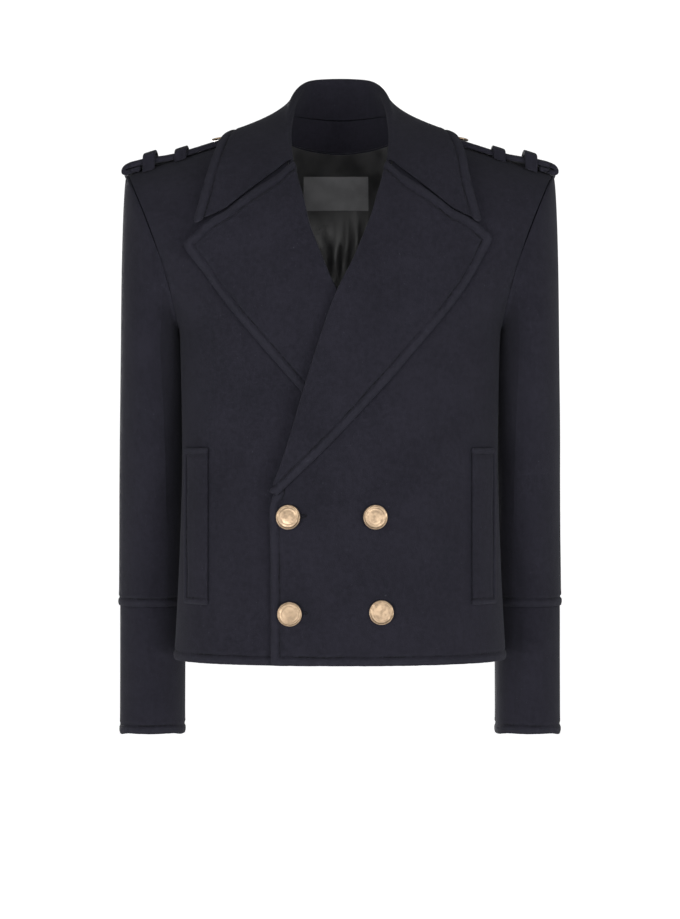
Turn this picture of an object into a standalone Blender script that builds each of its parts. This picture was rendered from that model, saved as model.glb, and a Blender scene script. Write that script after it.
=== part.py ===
"""A double-breasted reefer jacket in heavy wool, filled out with nobody in it.

Metres, +Z up. The front faces -Y and the wearer's left side is +X. The origin is at the middle of the neck,
level with the seam of the shoulders near the neck, where the wearer's shoulders carry the jacket.
"""

import math

import bmesh
import bpy
import numpy as np
from mathutils import Matrix, Vector

# Cloth
WALL = 0.003
LINING_WALL = 0.001
SEAM = 0.0004
LAYER_GAP = 0.0006

# Shoulders and neck
NECK_HALF_WIDTH = 0.075
NECK_POINT_Z = 0.011
TIP_X = 0.249
TIP_Z = -0.0445
SHOULDER_SLOPE = (NECK_POINT_Z - TIP_Z) / (TIP_X - NECK_HALF_WIDTH)
SHOULDER_ROUND = 0.110
BODY_FULLNESS = 2.4

# Armholes, an upright ellipse seen from the side
ARMHOLE_BOTTOM_Z = -0.230
ARMHOLE_BOTTOM_X = 0.189
ARMHOLE_MIDDLE_Z = (TIP_Z + ARMHOLE_BOTTOM_Z) / 2
ARMHOLE_HALF_HEIGHT = (TIP_Z - ARMHOLE_BOTTOM_Z) / 2
ARMHOLE_HALF_DEPTH = {"front": 0.067, "back": 0.070}
ARMHOLE_CURVE = 1.5
ARMHOLE_GAP = 0.0008
ARMHOLE_RUN = 0.0024

# Fronts
FRONT_EDGE_X = -0.077
BREAK_Z = -0.417
HOOK_RADIUS = 0.0046
HOOK_INSET = 0.0060
LAPEL_OUT = 0.0046
LAPEL_SWELL = 0.002
GORGE_BOW = 0.0074

# Sleeves
CAP_END_Z = -0.255
CUFF_SEAM_Z = -0.5545
CUFF_END_Z = -0.706
CUFF_STEP = 0.0015
FRONT_SEAM_ANGLE = 118.0
BACK_SEAM_ANGLE = -104.0

# Collar
COLLAR_ROLL_RADIUS = 0.005
COLLAR_LIFT = 0.0045
STAND_SHARE = 0.45
COLLAR_SEAM = 0.0009

# Shoulder straps
STRAP_HALF_WIDTH = 0.024
STRAP_WALL = 0.0058
STRAP_START_X = 0.116
STRAP_END_X = 0.2565
STRAP_RETURN_X = 0.2335
STRAP_SLIT = 0.0014
STRAP_LIFT = 0.0012
STRAP_ARCH = 0.085
# Where the folded strap climbs onto its own returned end: x, and share of the climb
STRAP_RISE = ((0.145, 0.0), (0.170, 0.0), (0.195, 0.06), (0.212, 0.45), (0.226, 0.88), (0.240, 1.0))
STRAP_ROLL_ANGLES = (90, 54, 18, -18, -54, -90)
LOOP_HALF_WIDTH = 0.0072
LOOP_WALL = 0.0036

# Buttons
BUTTON_RADIUS = 0.014
STRAP_BUTTON_RADIUS = 0.0095
BUTTON_SIDES = 16
BUTTON_SINK = 0.0002

COLOURS = {
    "wool": ((0.018, 0.018, 0.024), 0.85, 0.0),
    "lining": ((0.022, 0.022, 0.024), 0.40, 0.0),
    "label": ((0.012, 0.012, 0.016), 0.55, 0.0),
    "brass": ((0.55, 0.40, 0.22), 0.30, 1.0),
}


class Table:
    """Rows of sizes with named columns, read smoothly between the rows by the first column."""

    def __init__(self, names, rows):
        self.names = names
        self.rows = np.array(rows, dtype=float)

    def at(self, name, value):
        keys = self.rows[:, 0]
        sizes = self.rows[:, self.names.index(name)]
        value = min(max(value, keys[0]), keys[-1])
        index = min(int(np.searchsorted(keys, value, side="right")) - 1, len(keys) - 2)
        span = keys[index + 1] - keys[index]
        part = (value - keys[index]) / span
        start, end = sizes[index], sizes[index + 1]
        slope_in = self.slope(keys, sizes, index) * span
        slope_out = self.slope(keys, sizes, index + 1) * span
        cube, square = part**3, part**2
        return (
            (2 * cube - 3 * square + 1) * start
            + (cube - 2 * square + part) * slope_in
            + (3 * square - 2 * cube) * end
            + (cube - square) * slope_out
        )

    @staticmethod
    def slope(keys, sizes, index):
        rises = np.diff(sizes) / np.diff(keys)
        if index == 0:
            return rises[0]
        if index == len(keys) - 1:
            return rises[-1]
        before, after = rises[index - 1], rises[index]
        if before * after <= 0:
            return 0.0
        return 2 * before * after / (before + after)


# Half width and depths of the body at each height, and how far its middle stands forward
BODY = Table(
    ("height", "half_width", "front", "back", "shift"),
    (
        (-0.612, 0.1945, 0.107, 0.104, -0.015),
        (-0.499, 0.1885, 0.105, 0.101, -0.015),
        (-0.369, 0.1850, 0.103, 0.096, -0.014),
        (-0.277, 0.1870, 0.107, 0.100, -0.010),
        (-0.200, 0.1890, 0.110, 0.107, -0.005),
        (-0.150, 0.1890, 0.107, 0.106, -0.002),
        (-0.100, 0.1890, 0.099, 0.100, 0.000),
        (-0.060, 0.1890, 0.087, 0.093, 0.000),
        (-0.030, 0.1890, 0.078, 0.087, 0.000),
        (0.012, 0.1890, 0.072, 0.083, 0.000),
    ),
)

# The crest of the left lapel's fold, from the break up to the collar
ROLL = Table(
    ("height", "x"),
    (
        (-0.417, -0.0770),
        (-0.381, -0.0635),
        (-0.301, -0.0410),
        (-0.187, -0.0040),
        (-0.099, 0.0316),
        (-0.036, 0.0520),
    ),
)

# How far the left front stands off the right one, and how far across that reaches
OVERLAP = Table(
    ("height", "lift", "full_x", "none_x"),
    (
        (-0.612, 0.0046, 0.082, 0.130),
        (-0.500, 0.0048, 0.084, 0.135),
        (-0.432, 0.0110, 0.088, 0.140),
        (-0.300, 0.0110, 0.056, 0.115),
        (-0.190, 0.0110, 0.018, 0.085),
        (-0.150, 0.0052, 0.014, 0.075),
        (-0.105, 0.0000, 0.012, 0.065),
    ),
)

# The left lapel from its top to the break: share of its length, fold height and outer edge
LAPEL = Table(
    ("share", "roll_z", "edge_x", "edge_z"),
    (
        (0.00, -0.038, 0.1725, -0.127),
        (0.14, -0.090, 0.1440, -0.181),
        (0.34, -0.165, 0.0930, -0.245),
        (0.50, -0.225, 0.0520, -0.293),
        (0.72, -0.310, 0.0000, -0.351),
        (0.90, -0.380, -0.0450, -0.397),
        (1.00, -0.417, -0.0690, -0.421),
    ),
)

# Heights of the rows of a body panel below the armhole
LOW_ROWS = (
    (-0.612, -0.566, -0.520, -0.482, -0.445, -0.430)
    + (-0.417, -0.380, -0.330, -0.280, -0.230)
)
# Rows beside the armhole, by the angle from its top, and where each starts at the front and the back
HIGH_ROWS = (
    # angle, front x (None where it follows the lapel's fold), front z, back x, back z
    (160, None, -0.200, 0.0, -0.200),
    (140, None, -0.168, 0.0, -0.170),
    (120, None, -0.135, 0.0, -0.138),
    (100, None, -0.102, 0.0, -0.105),
    (80, None, -0.072, 0.0, -0.072),
    (60, None, -0.045, 0.0, -0.040),
    (42, 0.0635, -0.036, 0.0, -0.012),
    (28, 0.0690, -0.020, 0.045, -0.006),
    (16, 0.0720, -0.006, 0.065, 0.001),
    (9, 0.0742, 0.004, 0.0742, 0.0072),
    (4, 0.0750, 0.0100, 0.0750, 0.0102),
    (0, 0.0750, 0.0110, 0.0750, 0.0110),
)
PANEL_COLUMNS = 11
LINING_COLUMNS = (0, 2, 4, 6, 8, 10)
LINING_ROWS = (1, 2, 4, 7, 8, 9, 10, 11, 12, 13, 14, 15, 16, 17, 18, 19, 20)
LINING_GAP = 0.0012
SIDE_CROWDING = 2.2

# Sleeve sections below the armhole: outer and inner sides, centre and half depth
SLEEVE = Table(
    ("height", "outer_x", "inner_x", "centre_y", "half_depth"),
    (
        (-0.706, 0.2680, 0.1855, 0.066, 0.0520),
        (-0.612, 0.2675, 0.1850, 0.064, 0.0525),
        (-0.5545, 0.2672, 0.1840, 0.060, 0.0535),
        (-0.480, 0.2655, 0.1825, 0.047, 0.0560),
        (-0.400, 0.2635, 0.1820, 0.029, 0.0600),
        (-0.320, 0.2610, 0.1852, 0.014, 0.0640),
        (-0.255, 0.2592, 0.1895, 0.005, 0.0670),
    ),
)
SLEEVE_ROWS = (-0.310, -0.370, -0.430, -0.490, CUFF_SEAM_Z)
CAP_ROWS = (0.0, 0.12, 0.27, 0.47, 0.72, 1.0)

# The collar's stations from the back centre round to the lapel. N: neckline, T: crest, E: outer edge
COLLAR = Table(
    ("station", "nx", "nz", "inset", "tx", "ty", "tz", "ex", "ey", "ez", "facing"),
    (
        (0, 0.0000, -0.0120, 0.0000, 0.0000, 0.082, 0.084, 0.000, 0.096, -0.024, 90),
        (1, 0.0450, -0.0060, 0.0000, 0.0330, 0.072, 0.081, 0.062, 0.089, -0.018, 62),
        (2, 0.0650, 0.0010, 0.0000, 0.0470, 0.050, 0.071, 0.096, 0.064, -0.007, 40),
        (3, 0.0742, 0.0072, 0.0000, 0.0545, 0.026, 0.056, 0.119, 0.031, 0.002, 18),
        (4, 0.0750, 0.0110, 0.0000, 0.0570, 0.004, 0.041, 0.130, 0.002, 0.0055, -5),
        (5, 0.0742, 0.0040, 0.0010, 0.0580, -0.018, 0.024, 0.135, -0.024, 0.002, -25),
        (6, 0.0720, -0.0060, 0.0020, 0.0580, -0.036, 0.006, 0.142, -0.048, -0.014, -45),
        (7, 0.0690, -0.0200, 0.0028, 0.0565, -0.052, -0.013, 0.152, -0.074, -0.048, -65),
        (8, 0.0635, -0.0360, 0.0032, 0.0530, -0.066, -0.031, 0.167, -0.098, -0.110, -80),
    ),
)
COLLAR_COLUMNS = ("nx", "nz", "inset", "tx", "ty", "tz", "ex", "ey", "ez", "facing")
COLLAR_STATIONS = (0, 0.6, 1.2, 1.8, 2.4, 3.0, 3.6, 4.2, 4.8, 5.4, 6.0, 6.6, 7.3, 8)
BACK_STATIONS = 4

# The front buttons, all on the left front: x and height
FRONT_BUTTONS = ((-0.057, -0.445), (0.039, -0.445), (-0.056, -0.554), (0.046, -0.552))

# Pocket welts on the body's front: inner and outer x, top and bottom
WELT = {"inner_x": 0.150, "outer_x": 0.1775, "top_z": -0.367, "bottom_z": -0.545}
WELT_WALL = 0.0026

LABEL = {"centre_x": -0.005, "half_width": 0.040, "top_z": -0.034, "bottom_z": -0.075}
LOOPS_X = {"inner": 0.1865, "outer": 0.2235}


def ridge(x):
    """Height of the shoulder seam at x."""
    return NECK_POINT_Z - (abs(x) - NECK_HALF_WIDTH) * SHOULDER_SLOPE


def armhole_x(z):
    rise = min(max((z - ARMHOLE_BOTTOM_Z) / (TIP_Z - ARMHOLE_BOTTOM_Z), 0), 1)
    return ARMHOLE_BOTTOM_X + (TIP_X - ARMHOLE_BOTTOM_X) * rise**ARMHOLE_CURVE


def armhole_depth(side, z):
    part = (z - ARMHOLE_MIDDLE_Z) / ARMHOLE_HALF_HEIGHT
    return ARMHOLE_HALF_DEPTH[side] * math.sqrt(max(1 - part * part, 0))


def rounding(x, z):
    """Share of the full depth that is left near the shoulder seam."""
    drop = min(max((ridge(x) - z) / SHOULDER_ROUND, 0), 1)
    return math.sqrt(1 - (1 - drop) ** 2)


def half_width(side, z):
    """Half the body's width at this height, if its curve went on past the armhole."""
    if z <= ARMHOLE_BOTTOM_Z:
        return BODY.at("half_width", z)
    z = min(z, TIP_Z - 0.0005)
    across = armhole_x(z)
    share = armhole_depth(side, z) / rounding(across, z) / BODY.at(side, z)
    return across / (1 - share**BODY_FULLNESS) ** (1 / BODY_FULLNESS)


def depth(side, x, z):
    """How far the body's outer face stands from its middle plane at (x, z)."""
    across = min(abs(x) / half_width(side, z), 1)
    curve = (1 - across**BODY_FULLNESS) ** (1 / BODY_FULLNESS)
    return BODY.at(side, z) * curve * rounding(x, z)


def body_point(side, x, z, out=0.0):
    """A point of the body's outer face, moved out along the face's normal."""
    ahead = -1 if side == "front" else 1

    def on_face(at_x, at_z):
        stand = max(depth(side, at_x, at_z), SEAM)
        return Vector((at_x, BODY.at("shift", at_z) + ahead * stand, at_z))

    point = on_face(x, z)
    if out == 0:
        return point
    step = 0.002
    across = on_face(x + step, z) - on_face(x - step, z)
    upward = on_face(x, z + step) - on_face(x, z - step)
    normal = across.cross(upward).normalized()
    if normal.y * ahead < 0:
        normal.negate()
    return point + normal * out


def overlap_lift(x, z):
    """How far the left front is moved out where it lies on the right front and its lapel."""
    start = OVERLAP.at("full_x", z)
    end = OVERLAP.at("none_x", z)
    part = min(max((x - start) / (end - start), 0), 1)
    fade = 1 - part * part * (3 - 2 * part)
    return OVERLAP.at("lift", z) * fade


def fold_x(z):
    """The front's own edge beside the lapel's fold, and below the break."""
    if z <= BREAK_Z - 0.013:
        return FRONT_EDGE_X
    if z <= BREAK_Z:
        part = (z - BREAK_Z + 0.013) / 0.013
        return FRONT_EDGE_X + HOOK_INSET * part
    return ROLL.at("x", z) + HOOK_INSET


def panel_rows(side):
    """Start and end of each row of a half panel, from the hem up to the shoulder seam."""
    rows = []
    for z in LOW_ROWS:
        start_x = fold_x(z) if side == "front" else 0.0
        rows.append(((start_x, z), (half_width(side, z), z), SIDE_CROWDING))
    for angle, front_x, front_z, back_x, back_z in HIGH_ROWS:
        end_z = ARMHOLE_MIDDLE_Z + ARMHOLE_HALF_HEIGHT * math.cos(math.radians(angle))
        if side == "front":
            start = (fold_x(front_z) if front_x is None else front_x, front_z)
        else:
            start = (back_x, back_z)
        crowding = 1.3 + (SIDE_CROWDING - 1.3) * max(0.0, (angle - 120) / 60)
        rows.append((start, (armhole_x(end_z), end_z), crowding))
    return rows


def panel_grid(side, lift=None):
    """Outer points of a half panel, from its front or centre edge to its side."""
    grid = []
    for start, end, crowding in panel_rows(side):
        row = []
        for column in range(PANEL_COLUMNS + 1):
            share = 1 - (1 - column / PANEL_COLUMNS) ** crowding
            x = start[0] + (end[0] - start[0]) * share
            z = start[1] + (end[1] - start[1]) * share
            out = lift(x, z) if lift else 0.0
            row.append(body_point(side, x, z, out))
        grid.append(row)
    return grid


def mirrored(grid):
    """The same grid on the other side of the body, still facing out."""
    return [[Vector((-point.x, point.y, point.z)) for point in reversed(row)] for row in grid]


def faces_of(rows, columns, closed):
    faces = []
    for row in range(rows - 1):
        for column in range(columns if closed else columns - 1):
            after = (column + 1) % columns
            first = row * columns
            second = first + columns
            faces.append((first + column, first + after, second + after, second + column))
    return faces


def material(name):
    found = bpy.data.materials.get(name)
    if found:
        return found
    colour, roughness, metallic = COLOURS[name.split(".")[0]]
    made = bpy.data.materials.new(name)
    made.use_nodes = True
    shader = made.node_tree.nodes["Principled BSDF"]
    shader.inputs["Base Color"].default_value = (*colour, 1.0)
    shader.inputs["Roughness"].default_value = roughness
    shader.inputs["Metallic"].default_value = metallic
    return made


def add_object(name, mesh, finish):
    obj = bpy.data.objects.new(name, mesh)
    bpy.context.scene.collection.objects.link(obj)
    mesh.materials.append(material(finish + "." + name))
    mesh.shade_smooth()
    mesh.set_sharp_from_angle(angle=math.radians(40))
    return obj


def cloth(name, grid, finish="wool", wall=WALL, closed=False, flip=False, mirror=False, even=True):
    """A piece of cloth: a sheet through the grid's points, with its wall on the inner side."""
    columns = len(grid[0])
    points = [tuple(point) for row in grid for point in row]
    faces = faces_of(len(grid), columns, closed)
    if flip:
        faces = [tuple(reversed(face)) for face in faces]
    mesh = bpy.data.meshes.new(name)
    mesh.from_pydata(points, [], faces)
    obj = add_object(name, mesh, finish)
    if mirror:
        half = obj.modifiers.new("other half", "MIRROR")
        half.use_axis = (True, False, False)
        half.use_mirror_merge = True
        half.merge_threshold = 0.0001
    thick = obj.modifiers.new("wall", "SOLIDIFY")
    thick.thickness = wall
    thick.offset = -1
    thick.use_even_offset = even
    return obj


def bezier(points, part):
    """A point of the cubic curve with these four control points."""
    rest = 1 - part
    first, second, third, fourth = points
    return (
        first * rest**3
        + second * (3 * rest * rest * part)
        + third * (3 * rest * part * part)
        + fourth * part**3
    )


def add_body():
    front = panel_grid("front", overlap_lift)
    cloth("front_left", front)
    cloth("front_right", mirrored(panel_grid("front")))
    cloth("back", panel_grid("back"), flip=True, mirror=True)


def lapel_grid(lift, swell_end):
    """The lapel's seen face: a half turn round the fold, then out to its edge. It swells down to swell_end."""
    grid = []
    for share in (0.0, 0.07, 0.15, 0.25, 0.36, 0.48, 0.60, 0.72, 0.83, 0.92, 1.0):
        fold_z = LAPEL.at("roll_z", share)
        fold = Vector((ROLL.at("x", fold_z), fold_z))
        below = max(fold_z - 0.012, BREAK_Z - 0.006)
        along = Vector((ROLL.at("x", below + 0.012) - ROLL.at("x", below), 0.012))
        inward = Vector((along.y, -along.x)).normalized()
        centre = fold + inward * HOOK_RADIUS
        edge = Vector((LAPEL.at("edge_x", share), LAPEL.at("edge_z", share)))
        row = []
        for angle in (-90, -84, -45, 0, 45):
            turn = math.radians(angle)
            place = centre - inward * (HOOK_RADIUS * math.cos(turn))
            out = HOOK_RADIUS - WALL + HOOK_RADIUS * math.sin(turn)
            row.append((place, out))
        swell = LAPEL_SWELL * max(0.0, 1 - share / swell_end)
        bow = GORGE_BOW * max(0.0, 1 - share / 0.16)
        for part in (0.0, 0.13, 0.28, 0.43, 0.58, 0.72, 0.86, 1.0):
            place = centre + (edge - centre) * part
            place.y += bow * math.sin(math.pi * min(part / 0.9, 1.0))
            out = LAPEL_OUT + 0.0008 * (1 - part) ** 4 + swell * math.sin(math.pi * part)
            row.append((place, out))
        grid.append([body_point("front", p.x, p.y, out + lift(p.x, p.y)) for p, out in row])
    return grid


def add_lapels():
    cloth("lapel_left", lapel_grid(overlap_lift, 1.5), flip=True)
    cloth("lapel_right", mirrored(lapel_grid(lambda x, z: 0.0, 0.35)), flip=True)


def collar_frame(station):
    """Neckline, crest and edge points of the collar, with its facing and crest directions."""
    side = "back" if station < BACK_STATIONS else "front"
    values = {name: COLLAR.at(name, station) for name in COLLAR_COLUMNS}
    turn = math.radians(values["facing"])
    facing = Vector((math.cos(turn), math.sin(turn), 0))
    crest = Vector((values["tx"], values["ty"], values["tz"]))
    step = 0.05
    ahead = Vector([COLLAR.at(name, min(station + step, 8)) for name in ("tx", "ty", "tz")])
    behind = Vector([COLLAR.at(name, max(station - step, 0)) for name in ("tx", "ty", "tz")])
    along = (ahead - behind).normalized()
    if station == 0:
        along = Vector((1, 0, 0))
    up = along.cross(facing).normalized()
    facing = up.cross(along).normalized()
    neck = body_point(side, values["nx"], values["nz"])
    if station == BACK_STATIONS:
        neck = Vector((values["nx"], 0, values["nz"]))
    neck = neck - facing * values["inset"] + up * 0.0009
    if station == 0:
        neck.x = 0
    edge = Vector((values["ex"], values["ey"], values["ez"]))
    return neck, crest, edge, facing, up


def off_body(point):
    """The point, moved off the body if it is too near for the collar's wall."""
    side = "front" if point.y < 0 else "back"
    ahead = -1 if side == "front" else 1
    height = ridge(point.x) + COLLAR_LIFT
    if point.z >= height:
        return point
    lowered = min(point.z - COLLAR_LIFT * rounding(point.x, point.z) * 0.3, ridge(point.x))
    least = depth(side, point.x, lowered) + COLLAR_LIFT
    stand = (point.y - BODY.at("shift", point.z)) * ahead
    if stand < least:
        point.y = BODY.at("shift", point.z) + ahead * least
    return point


def grid_normals(grid):
    """The normals of the surface through the grid's points."""
    points = np.array([[tuple(point) for point in row] for row in grid])
    across = np.gradient(points, axis=1)
    upward = np.gradient(points, axis=0)
    normals = np.cross(across, upward)
    return normals / np.linalg.norm(normals, axis=2, keepdims=True)


def cloth_between(name, seen, hidden):
    """A piece of cloth whose two faces are both given."""
    rows = len(seen)
    columns = len(seen[0])
    points = [tuple(point) for grid in (seen, hidden) for row in grid for point in row]
    count = rows * columns
    faces = faces_of(rows, columns, False)
    faces += [tuple(index + count for index in reversed(face)) for face in faces]
    rim = list(range(columns))
    rim += [row * columns + columns - 1 for row in range(1, rows)]
    rim += [(rows - 1) * columns + column for column in range(columns - 2, -1, -1)]
    rim += [row * columns for row in range(rows - 2, 0, -1)]
    for first, second in zip(rim, rim[1:] + rim[:1]):
        faces.append((second, first, first + count, second + count))
    mesh = bpy.data.meshes.new(name)
    mesh.from_pydata(points, [], faces)
    shape = bmesh.new()
    shape.from_mesh(mesh)
    bmesh.ops.recalc_face_normals(shape, faces=shape.faces[:])
    shape.to_mesh(mesh)
    shape.free()
    return add_object(name, mesh, "wool")


def collar_grids():
    """The seen and hidden faces of the stand and of the fall, from the back centre to the lapel."""
    stand = ([], [])
    fall = ([], [])
    turned = []
    for station in COLLAR_STATIONS:
        neck, crest, edge, facing, up = collar_frame(station)
        centre = crest - up * COLLAR_ROLL_RADIUS
        inner_top = centre - facing * COLLAR_ROLL_RADIUS
        leg = inner_top - neck
        stand_top = neck + leg * STAND_SHARE
        fall_start = stand_top + leg.normalized() * COLLAR_SEAM
        stand_column = [neck, (neck + stand_top) / 2, stand_top]
        stand[0].append(stand_column)
        stand[1].append([point + facing * WALL for point in stand_column])
        column = [fall_start, (fall_start + inner_top) / 2, inner_top]
        hidden = [point + facing * WALL for point in column]
        for angle in (135, 90, 45, 0):
            turn = math.radians(angle)
            across = facing * math.cos(turn) + up * math.sin(turn)
            column.append(centre + across * COLLAR_ROLL_RADIUS)
            hidden.append(centre + across * (COLLAR_ROLL_RADIUS - WALL))
        start = centre + facing * COLLAR_ROLL_RADIUS
        reach = edge - start
        crown = facing * 0.006
        drop = min(reach.length * 0.3, leg.length * 0.2)
        controls = (start, start - up * drop + crown, edge - reach * 0.35 + crown, edge)
        for part in (0.15, 0.33, 0.52, 0.76, 1.0):
            column.append(off_body(bezier(controls, part)))
        fall[0].append(column)
        fall[1].append(hidden)
        turned.append(facing + up * 0.5)
    normals = grid_normals(fall[0])
    for index, (column, hidden) in enumerate(zip(*fall)):
        for place in range(len(hidden), len(column)):
            normal = Vector(normals[index, place])
            if normal.dot(turned[index]) < 0:
                normal.negate()
            if index == 0:
                normal.x = 0
            hidden.append(column[place] - normal.normalized() * WALL)
    return stand, fall


def both_sides(grid):
    """The grid with its mirror image, as one strip through the back centre."""
    other = [[Vector((-point.x, point.y, point.z)) for point in row] for row in reversed(grid[1:])]
    return other + grid


def add_collar():
    stand, fall = collar_grids()
    cloth_between("collar_stand", both_sides(stand[0]), both_sides(stand[1]))
    cloth_between("collar_fall", both_sides(fall[0]), both_sides(fall[1]))


def armhole_point(angle):
    """The armhole's edge on the left: 0 at the top, 90 at the front, 180 below and 270 at the back."""
    turn = math.radians(angle)
    side = "front" if math.sin(turn) > 0 else "back"
    z = ARMHOLE_MIDDLE_Z + ARMHOLE_HALF_HEIGHT * math.cos(turn)
    y = BODY.at("shift", z) - ARMHOLE_HALF_DEPTH[side] * math.sin(turn)
    return Vector((armhole_x(z), y, z))


def sleeve_point(angle, z, step=0.0):
    """The sleeve's outer face below the armhole, with the same angles."""
    turn = math.radians(angle)
    outer = SLEEVE.at("outer_x", z) - step
    inner = SLEEVE.at("inner_x", z) + step
    across = (outer - inner) / 2
    deep = SLEEVE.at("half_depth", z) - step
    middle = (outer + inner) / 2
    x = middle + across * math.cos(turn)
    return Vector((x, SLEEVE.at("centre_y", z) - deep * math.sin(turn), z))


def crowded_angles(start, end, steps):
    """Angles between two seams, with one more beside each seam."""
    even = [start + (end - start) * index / steps for index in range(steps + 1)]
    beside = 1.6 if end > start else -1.6
    return [even[0], even[0] + beside] + even[1:-1] + [even[-1] - beside, even[-1]]


def sleeve_grid(start, end, steps):
    """Outer points of a sleeve piece between two angles, from the armhole to the cuff."""
    angles = crowded_angles(start, end, steps)
    roots = [armhole_point(angle) + Vector((ARMHOLE_GAP, 0, 0)) for angle in angles]
    grid = [roots]
    for part in CAP_ROWS:
        row = []
        for angle, root in zip(angles, roots):
            out = root + Vector((ARMHOLE_RUN, 0, 0))
            below = sleeve_point(angle, CAP_END_Z)
            highness = (1 + math.cos(math.radians(angle))) / 2
            away = out + Vector((0.0035, -0.002 * math.sin(math.radians(angle)), 0))
            above = below + Vector((0, 0, 0.012 + 0.100 * highness))
            row.append(bezier((out, away, above, below), part))
        grid.append(row)
    for z in SLEEVE_ROWS:
        grid.append([sleeve_point(angle, z) for angle in angles])
    return grid


def add_sleeves():
    gap = 0.35
    top = sleeve_grid(BACK_SEAM_ANGLE + gap, FRONT_SEAM_ANGLE - gap, 13)
    under = sleeve_grid(FRONT_SEAM_ANGLE + gap, 360 + BACK_SEAM_ANGLE - gap, 8)
    cloth("sleeve_top_left", top)
    cloth("sleeve_under_left", under)
    cloth("sleeve_top_right", mirrored(top))
    cloth("sleeve_under_right", mirrored(under))


def add_cuffs():
    steps = 24
    grid = []
    start_z = CUFF_SEAM_Z - SEAM
    for part in (0.0, 0.33, 0.67, 1.0):
        z = start_z + (CUFF_END_Z - start_z) * part
        grid.append([sleeve_point(360 * index / steps, z, CUFF_STEP) for index in range(steps)])
    cloth("cuff_left", grid, closed=True)
    cloth("cuff_right", mirrored(grid), closed=True)


def add_welts():
    grid = []
    for row in range(7):
        z = WELT["bottom_z"] + (WELT["top_z"] - WELT["bottom_z"]) * row / 6
        line = []
        for column in range(5):
            x = WELT["inner_x"] + (WELT["outer_x"] - WELT["inner_x"]) * column / 4
            line.append(body_point("front", x, z, WELT_WALL + LAYER_GAP))
        grid.append(line)
    cloth("welt_left", grid, wall=WELT_WALL)
    cloth("welt_right", mirrored(grid), wall=WELT_WALL)


def shoulder_arch(y):
    """How far a strap bends down at this distance from the shoulder seam."""
    return SHOULDER_ROUND * (1 - math.sqrt(1 - (y / STRAP_ARCH) ** 2))


def strap_path():
    """The strap along the shoulder: x and height above the seam of its outer face, then of its inner one."""
    top = STRAP_LIFT + STRAP_WALL
    raised = top + STRAP_SLIT + STRAP_WALL
    radius = (raised - STRAP_LIFT) / 2
    path = [(STRAP_START_X, top, STRAP_START_X, STRAP_LIFT)]
    for x, share in STRAP_RISE:
        above = top + (raised - top) * share
        path.append((x, above, x, above - STRAP_WALL))
    centre_x = STRAP_END_X - radius
    for angle in STRAP_ROLL_ANGLES:
        along = math.cos(math.radians(angle))
        up = math.sin(math.radians(angle))
        middle = STRAP_LIFT + radius
        inner = radius - STRAP_WALL
        path.append((centre_x + radius * along, middle + radius * up, centre_x + inner * along, middle + inner * up))
    path.append((STRAP_RETURN_X, STRAP_LIFT, STRAP_RETURN_X, top))
    return path


def add_straps():
    outer, inner = [], []
    for outer_x, outer_above, inner_x, inner_above in strap_path():
        sides = [STRAP_HALF_WIDTH * (index / 2 - 1) for index in range(5)]
        outer.append([Vector((outer_x, y, ridge(outer_x) + outer_above - shoulder_arch(y))) for y in sides])
        inner.append([Vector((inner_x, y, ridge(inner_x) + inner_above - shoulder_arch(y))) for y in sides])
    cloth_between("epaulette_left", outer, inner)
    cloth_between("epaulette_right", mirrored(outer), mirrored(inner))


def shoulder_height(x, y):
    """Height of the body's outer face at (x, y) near the shoulder seam."""
    side = "front" if y < 0 else "back"
    low, high = ridge(x) - SHOULDER_ROUND, ridge(x)
    for _ in range(24):
        middle = (low + high) / 2
        if depth(side, x, middle) > abs(y):
            low = middle
        else:
            high = middle
    return high


def add_loops():
    for place, centre_x in LOOPS_X.items():
        rise = STRAP_LIFT + STRAP_WALL + LAYER_GAP + LOOP_WALL
        if place == "outer":
            rise += (STRAP_SLIT + STRAP_WALL) * 0.92
        rise += 0.0016
        grid = []
        for x in (centre_x - LOOP_HALF_WIDTH, centre_x + LOOP_HALF_WIDTH):
            row = []
            outer_y = STRAP_HALF_WIDTH + LOOP_WALL + 0.0012
            feet = [shoulder_height(x, side * (outer_y - LOOP_WALL)) + 0.0007 for side in (-1, 1)]
            row.append(Vector((x, -outer_y - 0.0004, feet[0])))
            for index in range(9):
                y = outer_y * (index / 4 - 1)
                row.append(Vector((x, y, ridge(x) + rise - shoulder_arch(y))))
            row.append(Vector((x, outer_y + 0.0004, feet[1])))
            grid.append(row)
        cloth("strap_loop_left_" + place, grid, wall=LOOP_WALL, flip=True)
        cloth("strap_loop_right_" + place, mirrored(grid), wall=LOOP_WALL, flip=True)


def button(name, centre, normal, radius):
    """A round metal button: a short shank, a flat back, a raised rim and a low dome."""
    profile = (
        (0.0, 0.0003),
        (0.28, 0.0003),
        (0.28, 0.0018),
        (0.90, 0.0022),
        (1.00, 0.0034),
        (0.97, 0.0046),
        (0.84, 0.0046),
        (0.78, 0.0040),
        (0.0, 0.0050),
    )
    mesh = bpy.data.meshes.new(name)
    shape = bmesh.new()
    points = [shape.verts.new((share * radius, 0, height)) for share, height in profile]
    edges = [shape.edges.new(pair) for pair in zip(points, points[1:])]
    bmesh.ops.spin(
        shape,
        geom=points + edges,
        axis=(0, 0, 1),
        cent=(0, 0, 0),
        steps=BUTTON_SIDES,
        angle=2 * math.pi,
        use_merge=True,
    )
    bmesh.ops.remove_doubles(shape, verts=shape.verts[:], dist=0.00001)
    bmesh.ops.recalc_face_normals(shape, faces=shape.faces[:])
    turn = Vector((0, 0, 1)).rotation_difference(normal).to_matrix().to_4x4()
    shape.transform(Matrix.Translation(centre) @ turn)
    shape.to_mesh(mesh)
    shape.free()
    return add_object(name, mesh, "brass")


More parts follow.
